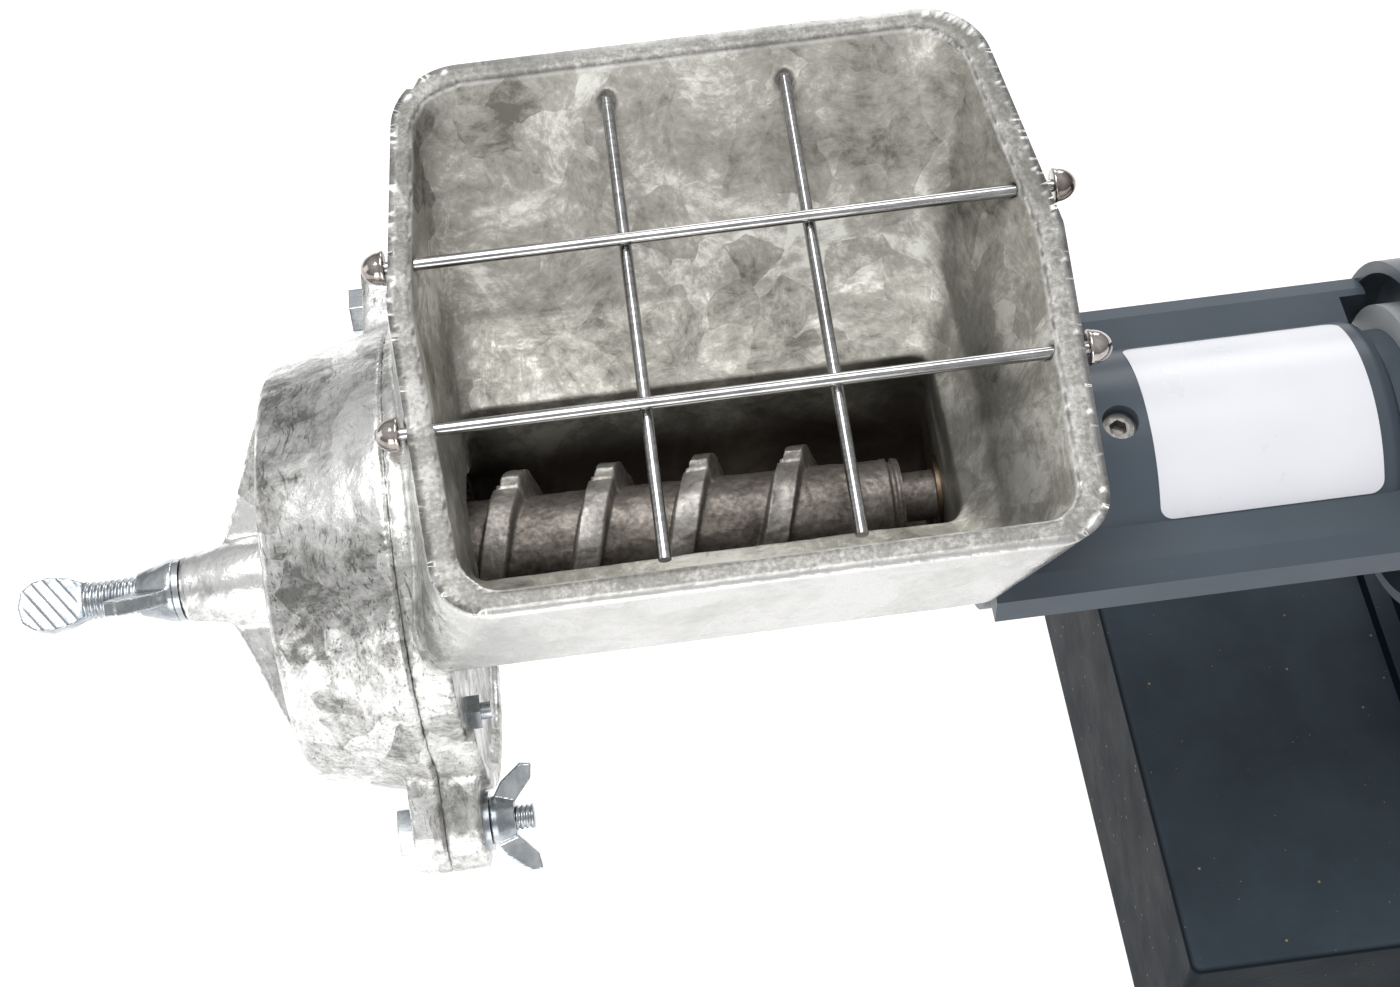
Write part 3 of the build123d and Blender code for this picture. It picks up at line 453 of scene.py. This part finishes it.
body = remeshed("mill_body", "mill_body_v", 1.0)
relax(body, 3, None, 0.5)
LP = rim_lines("mill_body"); LP = LP[~inside_mask(LP, 1.6)[0]]                                   # the remesh steps along the slanted rim, so its edge rows go back on the CAD lines
tree = kdtree.KDTree(len(LP))
for i, q in enumerate(LP): tree.insert(q, i)
tree.balance()
co = coords(body); P = to_mm(co); fixed = np.zeros(len(P))
for i in np.nonzero(np.abs((P[:, 2] - 70.9 - 0.1591 * P[:, 1]) * 0.9876) < 1.5)[0]:
    q, j, dist = tree.find(P[i])
    if dist < 1.6:
        co[i] += (LP[j] - P[i]) / 1000.0; fixed[i] = 1
set_coords(body, co)
P = to_mm(co)
relax(body, 9, np.clip(smooth01(P[:, 2] - 70.9 - 0.1591 * P[:, 1], -5.0, -2.0), 0, 1) * (1 - fixed), 0.5)
bm = bmesh.new(); bm.from_mesh(body.data)
bmesh.ops.remove_doubles(bm, verts=bm.verts, dist=0.0002)
bmesh.ops.dissolve_degenerate(bm, dist=0.00012, edges=bm.edges)
bm.to_mesh(body.data); bm.free(); body.data.update()
co = coords(body); P = to_mm(co); N = normals(body)
zr = 70.9 + 0.1591 * P[:, 1]
rn = np.array([0.0, -0.1571, 0.9876])
near = np.abs((P[:, 2] - zr) * 0.9876)
rimface = ((near < 0.9) & (N @ rn > 0.75)).astype(float)
cv = curvature(body); snap = np.zeros(len(P))
for i in np.nonzero(near < 0.3)[0]:
    if tree.find(P[i])[2] < 0.06: snap[i] = 1
cv = cv * (1 - snap)
# painted highlight mask on convex edges near the rim
edge_highlight = smooth01(cv * 1000, 0.15, 0.28) * smooth01(-near, -1.9, -0.9)
ed = edges_of(body); nv = len(P)                              # painted highlight line where the rim's flat ends
deg = np.bincount(ed.ravel(), minlength=nv).astype(float); deg[deg == 0] = 1
sm = rimface.copy()
for k in range(2):
    sm = 0.4 * sm + 0.6 * (np.bincount(ed[:, 0], sm[ed[:, 1]], nv) + np.bincount(ed[:, 1], sm[ed[:, 0]], nv)) / deg
wob = np.clip(0.75 + 0.9 * fbm(P, 0.10, 2, 14.0), 0.15, 1)
line = np.clip(1 - np.abs(sm - 0.42) / 0.30, 0, 1) * smooth01(-near, -3.0, -1.5) * wob
edge_highlight = np.maximum(edge_highlight, line)
ins, _ = inside_mask(P, 1.6)
ins = ins.astype(float) * (1 - rimface)
# trough mask, fading out upward: grime plus painted shade at the trough bottom
trg = ins * (1 - smooth01(P[:, 2], 2.0, 19.0))
rightw = smooth01(P[:, 0], 105.0, 128.0)
# painted shade mask for the steep lower walls inside the hopper, stronger towards the right wall
deep_painted_shade = ins * (1 - smooth01(P[:, 2] - 17.0 * rightw, 22.0, 58.0)) * (1 - smooth01(N[:, 2], 0.42, 0.70)) * (0.55 + 0.45 * rightw)
n1 = fbm(P, 0.035, 3, 1.0); n2 = fbm(P, 0.16, 3, 2.0)
amp = 0.32 * n1 * (0.4 + 0.6 * ins) + 0.10 * n2 * (1 - 0.8 * smooth01(-near, -4.0, -1.0))
amp *= np.where(np.hypot(P[:, 1], P[:, 2]) < 22.3, np.where((P[:, 0] > 133) | (P[:, 0] < 14), 0.0, 1.0), 1.0)      # bore, spigot
amp *= np.where(P[:, 0] < 1.2, 0.0, 1.0) * np.where(np.hypot(P[:, 1], P[:, 2]) < 9.9, 0.0, 1.0)
burr = smooth01(cv * 1000, 0.08, 0.30) * smooth01(-near, -2.5, -0.6) * (0.35 + 0.5 * np.clip(fbm(P, 0.12, 2, 5.0) + 0.4, 0, 1.5))
off = (amp * (1 - 0.85 * smooth01(-near, -6.0, -1.5)) + 0.06 * burr)
set_coords(body, co + N * (off / 1000.0)[:, None])
# mask of the front-facing outside wall, which gets painted light
front_lit_mask = smooth01(-N[:, 1], 0.55, 0.85) * smooth01(P[:, 0], 6, 16) * (1 - ins) * (1 - rimface) * smooth01(P[:, 2], 16, 30)
for nm, v in (("inside", ins), ("trough", trg), ("rimface", rimface), ("edge_highlight", np.clip(edge_highlight * 1.15, 0, 1)), ("front_painted_light", front_lit_mask), ("deep_painted_shade", deep_painted_shade)):
    set_attr(body, nm, v)
shade(body)
put(body, "frame", ["mill_body"], TIN)

# ================================================================ plate cover casting
cover = remeshed("plate_cover", "plate_cover_v", 0.9)
relax(cover, 4, None, 0.5)
co = coords(cover); P = to_mm(co); N = normals(cover)
amp = 0.30 * fbm(P, 0.045, 3, 3.0) + 0.12 * fbm(P, 0.2, 2, 4.0)
amp *= np.where((P[:, 0] > -1.2), 0.0, 1.0) * np.where(np.hypot(P[:, 1], P[:, 2]) < 5.6, 0.0, 1.0)
inner = (np.hypot(P[:, 1], P[:, 2]) < 54) & (P[:, 0] > -33.3) & (N[:, 0] > 0.2)
amp *= np.where(inner, 0.0, 1.0)
set_coords(cover, co + N * (amp / 1000.0)[:, None])
shade(cover)
put(cover, "frame", ["plate_cover"], TIN2)

# ================================================================ feed screw: one skin laid out along the axis and round it
def skin(name, xs, nth, rad, cap0=None, cap1=None):
    """Closed skin round the shaft axis; rad(x, th) gives the radius; the ends close on a point, and a cap0/cap1 radius
    (a bore) is not supported and raises.
    """
    th = np.linspace(0, 2 * np.pi, nth, endpoint=False)
    V = []
    for x in xs:
        rr = rad(np.full(nth, x), th)
        V.append(np.stack([np.full(nth, x), rr * np.cos(th), rr * np.sin(th)], 1))
    V = np.concatenate(V); F = []
    for i in range(len(xs) - 1):
        for j in range(nth):
            k = (j + 1) % nth
            F.append((i * nth + j, i * nth + k, (i + 1) * nth + k, (i + 1) * nth + j))
    F = [f[::-1] for f in F]
    n = len(V)
    ends = []
    for xv, base, cap, flip in ((xs[0], 0, cap0, False), (xs[-1], (len(xs) - 1) * nth, cap1, True)):
        if cap is None:
            ends.append((xv, 0, 0)); c = n + len(ends) - 1
            for j in range(nth):
                k = (j + 1) % nth
                f = (c, base + j, base + k)
                F.append(f[::-1] if not flip else f)
        else:
            raise ValueError
    V = np.concatenate([V, np.array(ends, float).reshape(-1, 3)])
    return new_obj(name, V, F)

def core_r(x):
    return np.interp(x, [3, 12, 119.5, 119.51, 120.9, 120.91, 122.5], [12.9, 12.9, 10.6, 9.6, 9.6, 10.5, 10.2])
def auger_r(x, th):
    deg = np.degrees(th)
    ph = (x - 14.5) / 23.8 + (deg - 213.7) / 360.0
    k = np.round(ph)
    dx = (ph - k) * 23.8                          # axial distance to the nearest turn
    xc = x - dx
    ro = 20.0 - 3.6 * np.clip((xc - 12) / 95.0, 0, 1)
    on = smooth01(xc, 10.0, 14.0) * (1 - smooth01(xc, 103.0, 110.0))
    d = (deg + 126.3) % 360.0 - 126.3                       # -126.3 .. 233.7, cut where nothing shows
    front = smooth01(d, 56, 60) * (1 - smooth01(d, 160, 165)); low = smooth01(d, 160, 165); back = 1 - smooth01(d, 10, 30)
    dx = dx + 1.1 * front + 2.0 * low
    half_tip = 2.35 + 0.75 * front + 0.35 * low; half_root = half_tip + 0.75
    h = 1.0 - 0.42 * front - 0.30 * low - 0.25 * back
    t = np.clip((half_root - np.abs(dx)) / (half_root - half_tip), 0, 1)
    t = t * t * (3 - 2 * t)
    c = core_r(x)
    return c + (ro - c) * t * on * h
xs = np.concatenate([np.arange(3.0, 119.4, 0.4), [119.5, 119.6, 120.2, 120.8, 120.95, 121.6, 122.2, 122.5]])
aug = skin("feed_auger_v", xs, 240, auger_r)
co = coords(aug); P = to_mm(co); N = normals(aug)
rr = np.hypot(P[:, 1], P[:, 2])
c = core_r(P[:, 0])
lump = fbm(P, 0.07, 3, 8.0); fine = fbm(P, 0.35, 2, 9.0)
wear = smooth01(rr - c, 1.6, 3.6) * np.clip(0.55 + 0.9 * fbm(P, 0.10, 2, 11.0), 0, 1)
am = 0.45 * lump + 0.16 * fine
am = np.where(rr > 19.6, np.minimum(am, 0.05), am) * np.where((P[:, 0] > 118) | (P[:, 0] < 3.4), 0, 1)
set_coords(aug, co + N * (am / 1000.0)[:, None])
set_attr(aug, "wear", wear)
put(aug, "mill_rotor", ["feed_auger"], AUG)

# ================================================================ threads and wing nuts
def threaded(node, voxel, r0, pitch, depth, spans, axes, relax_n=3, crest=0.0):
    """Fine skin of a CAD screw with a real helical thread cut into its shank."""
    o = remeshed(node, node + "_v", voxel)
    relax(o, relax_n, None, 0.5)
    co = coords(o); P = to_mm(co); D = np.zeros_like(P)
    for (cy_, cz_) in axes:
        dy, dz = P[:, 1] - cy_, P[:, 2] - cz_
        r = np.hypot(dy, dz); a = np.arctan2(dz, dy)
        for (x0, x1) in spans:
            sel = (np.abs(r - r0) < 0.55) & (P[:, 0] > x0) & (P[:, 0] < x1)
            f = ((P[:, 0] + a / (2 * np.pi) * pitch) / pitch) % 1.0
            tri = 1 - np.abs(2 * f - 1)
            cut = -depth * (1 - np.clip(tri * 1.25, 0, 1)) * smooth01(P[:, 0], x0, x0 + pitch) * (1 - smooth01(P[:, 0], x1 - pitch, x1))
            D[:, 1] += np.where(sel, cut * dy / np.maximum(r, 1e-6), 0); D[:, 2] += np.where(sel, cut * dz / np.maximum(r, 1e-6), 0)
    set_coords(o, co + D / 1000.0)
    shade(o)
    return o
LUGS = [(63.9, 23.26), (-63.9, -23.26)]
cb = threaded("cover_bolts", 0.26, 3.0, 1.27, 0.5, [(8.5, 21.2)], LUGS)
put(cb, "frame", ["cover_bolts"], ZINC)

ts = threaded("thumb_screw", 0.30, 4.7, 1.5875, 0.75, [(-86.3, -39.6)], [(0.0, 0.0)])
co = coords(ts); P = to_mm(co); N = normals(ts)
head = (P[:, 0] < -86.2)
across = -P[:, 1] * math.cos(math.radians(20.0)) - P[:, 2] * math.sin(math.radians(20.0))
ph = (P[:, 0] - 0.75 * across) / 3.4
ridge = -0.17 * np.exp(-((ph - np.round(ph)) / 0.10) ** 2) * smooth01(-P[:, 0], 87.5, 89) * smooth01(P[:, 0], -102.5, -100)
tw = math.radians(20.0); flatn = np.array([0.0, -math.sin(tw), math.cos(tw)])
onflat = np.abs(N @ flatn) > 0.8
set_coords(ts, co + N * (np.where(head & onflat, ridge, 0.0) / 1000.0)[:, None])
shade(ts)
put(ts, "thumb_screw", ["thumb_screw"], ZINC)

def rounded(node, body_name, voxel, n, mat, noise_amp=0.06):
    o = remeshed(node, node + "_v", voxel)
    relax(o, n, None, 0.6)
    co = coords(o); P = to_mm(co); N = normals(o)
    set_coords(o, co + N * (noise_amp * fbm(P, 0.35, 2, 6.0) / 1000.0)[:, None])
    shade(o)
    return put(o, body_name, [node], mat)
rounded("wing_nut_front", "wing_nut_front", 0.30, 6, ZINC)
rounded("wing_nut_back", "wing_nut_back", 0.30, 6, ZINC)
rounded("lock_wing_nut", "lock_wing_nut", 0.36, 7, ZINC, 0.12)

# ================================================================ push-on caps: smooth polished domes
def cap_dome(parts):
    V, F = [], []; nth = 40
    prof = [(0.0, 1.56), (0.0, 3.9), (0.12, 4.12), (0.45, 4.2), (0.8, 4.12)]
    prof += [(0.8 + 4.9 * math.sin(math.radians(a)), 3.98 * math.cos(math.radians(a))) for a in range(4, 90, 6)]
    for (x, s_, y, z) in parts:
        b = len(V)
        for (dx_, r) in prof:
            for j in range(nth):
                a = 2 * math.pi * j / nth
                V.append((x + s_ * dx_, y + r * math.cos(a), z + r * math.sin(a)))
        V.append((x + s_ * 5.72, y, z)); tip = len(V) - 1
        for i in range(len(prof) - 1):
            for j in range(nth):
                k = (j + 1) % nth
                f = (b + i * nth + j, b + (i + 1) * nth + j, b + (i + 1) * nth + k, b + i * nth + k)
                F.append(f[::-1] if s_ > 0 else f)
        for j in range(nth):
            k = (j + 1) % nth; q = b + (len(prof) - 1) * nth
            f = (q + j, tip, q + k)
            F.append(f[::-1] if s_ > 0 else f)
    o = new_obj("guard_push_nuts_v", V, F, True, 50)
    bm = bmesh.new(); bm.from_mesh(o.data); bmesh.ops.recalc_face_normals(bm, faces=bm.faces); bm.to_mesh(o.data); bm.free()
    return o
put(cap_dome([(4.2, -1, 34.7, 72.9), (4.9, -1, -8.7, 66.0), (162.6, 1, 34.7, 72.9), (162.2, 1, -8.7, 66.0)]), "frame", ["guard_push_nuts"], NUTC)

# ================================================================ label: a rounded film wrapped on the tube
def label_film():
    R0, x0, x1, a0, a1, rad, t = 30.8, 181.5, 236.5, math.radians(47.0), math.radians(148.4), 3.4, 0.22
    s0, s1 = a0 * R0, a1 * R0
    out = []
    for cx_, cs, q in ((x1 - rad, s1 - rad, 0), (x0 + rad, s1 - rad, 1), (x0 + rad, s0 + rad, 2), (x1 - rad, s0 + rad, 3)):
        for k in range(9):
            b = math.radians(q * 90 + k * 90 / 8)
            out.append((cx_ + rad * math.cos(b), cs + rad * math.sin(b)))
    dense = []
    for i in range(len(out)):
        p, q = np.array(out[i]), np.array(out[(i + 1) % len(out)])
        n = max(1, int(np.linalg.norm(q - p) / 1.2))
        for k in range(n): dense.append(p + (q - p) * k / n)
    dense = np.array(dense); c = dense.mean(0); m = len(dense); K = 26
    V, F = [], []
    def pt(x, s, r): return (x, r * math.cos(s / R0), r * math.sin(s / R0))
    V.append(pt(c[0], c[1], R0 + t))
    for k in range(1, K + 1):
        for p in c + (dense - c) * k / K:
            V.append(pt(p[0], p[1], R0 + t - (0.04 if k == K else 0)))
    for p in dense: V.append(pt(p[0], p[1], R0 - 0.02))
    for j in range(m): F.append((0, 1 + j, 1 + (j + 1) % m))
    for k in range(K):
        a = 1 + k * m; b = a + m
        for j in range(m): F.append((a + j, b + j, b + (j + 1) % m, a + (j + 1) % m))
    a = 1 + K * m                                              # underside
    V.append(pt(c[0], c[1], R0 - 0.02)); ci = len(V) - 1
    inner0 = len(V)
    for k in range(1, K):
        for p in c + (dense - c) * (K - k) / K: V.append(pt(p[0], p[1], R0 - 0.02))
    rows = [a] + [inner0 + (k - 1) * m for k in range(1, K)]
    for r0, r1 in zip(rows[:-1], rows[1:]):
        for j in range(m): F.append((r0 + j, r1 + j, r1 + (j + 1) % m, r0 + (j + 1) % m))
    for j in range(m): F.append((rows[-1] + j, ci, rows[-1] + (j + 1) % m))
    return new_obj("label_v", V, F, True, 50)
put(label_film(), "frame", ["label"], LABEL)

# ================================================================ everything else keeps its CAD mesh
MATS = dict(
    guard_long_rods=ROD, guard_cross_rods=ROD, guard_push_nuts=NUTC, stationary_plate=PLATE, rotating_plate=PLATE, plate_driver=PLATE,
    # set_screw takes the dark cast finish: painted shade of the deep hole it sits in
    plate_screws=ZINC, plate_nuts=ZINC, bolt_washer_front=ZINC, bolt_washer_back=ZINC, lock_washer=ZINC, set_screw=PLATE,
    mill_shaft=AUG, shaft_pins=GROUND, thrust_ball=GROUND, drive_coupling=GROUND, coupling_grub=GROUND, output_shaft=GROUND,
    output_gear=GROUND, output_bearing=GROUND, layshaft=GROUND, lay_gear=GROUND, layshaft_bushes=BRONZE, neck_bushes=BRONZE,
    motor_shaft=GROUND, motor_bearings=GROUND, motor_rotor=GROUND, motor_stator=GROUND, motor_fan=BLACK, housing_screws=ZINC,
    gearbox_screws=ZINC, drive_housing=DRIVE, gearbox_nose=DRIVE, gearbox_case=DRIVE, bearing_collar=COLLAR, motor_adapter=MOTOR,
    motor_shell=MOTOR, motor_end_bell=MOTOR, fan_cover=MOTOR, motor_straps=ZINC, terminal_box=MOTOR, terminal_lid=MOTOR,
    toggle_switch=BLACK, toggle_lever=ZINC, cord_gland=BLACK, base_pan=BASE, pedestal=BASE, pedestal_bolts=ZINC, pedestal_nuts=ZINC,
    foot_screws=ZINC, rubber_feet=RUBBER)
DONE = {"mill_body", "plate_cover", "feed_auger", "cover_bolts", "thumb_screw", "wing_nut_front", "wing_nut_back", "lock_wing_nut", "label", "guard_push_nuts"}
for nm, o in NODES.items():
    if nm in DONE:
        continue
    mat = MATS[nm]
    o.data.materials.clear(); o.data.materials.append(mat)
    for p in o.data.polygons: p.use_smooth = True
    o.data.set_sharp_from_angle(angle=math.radians(32))
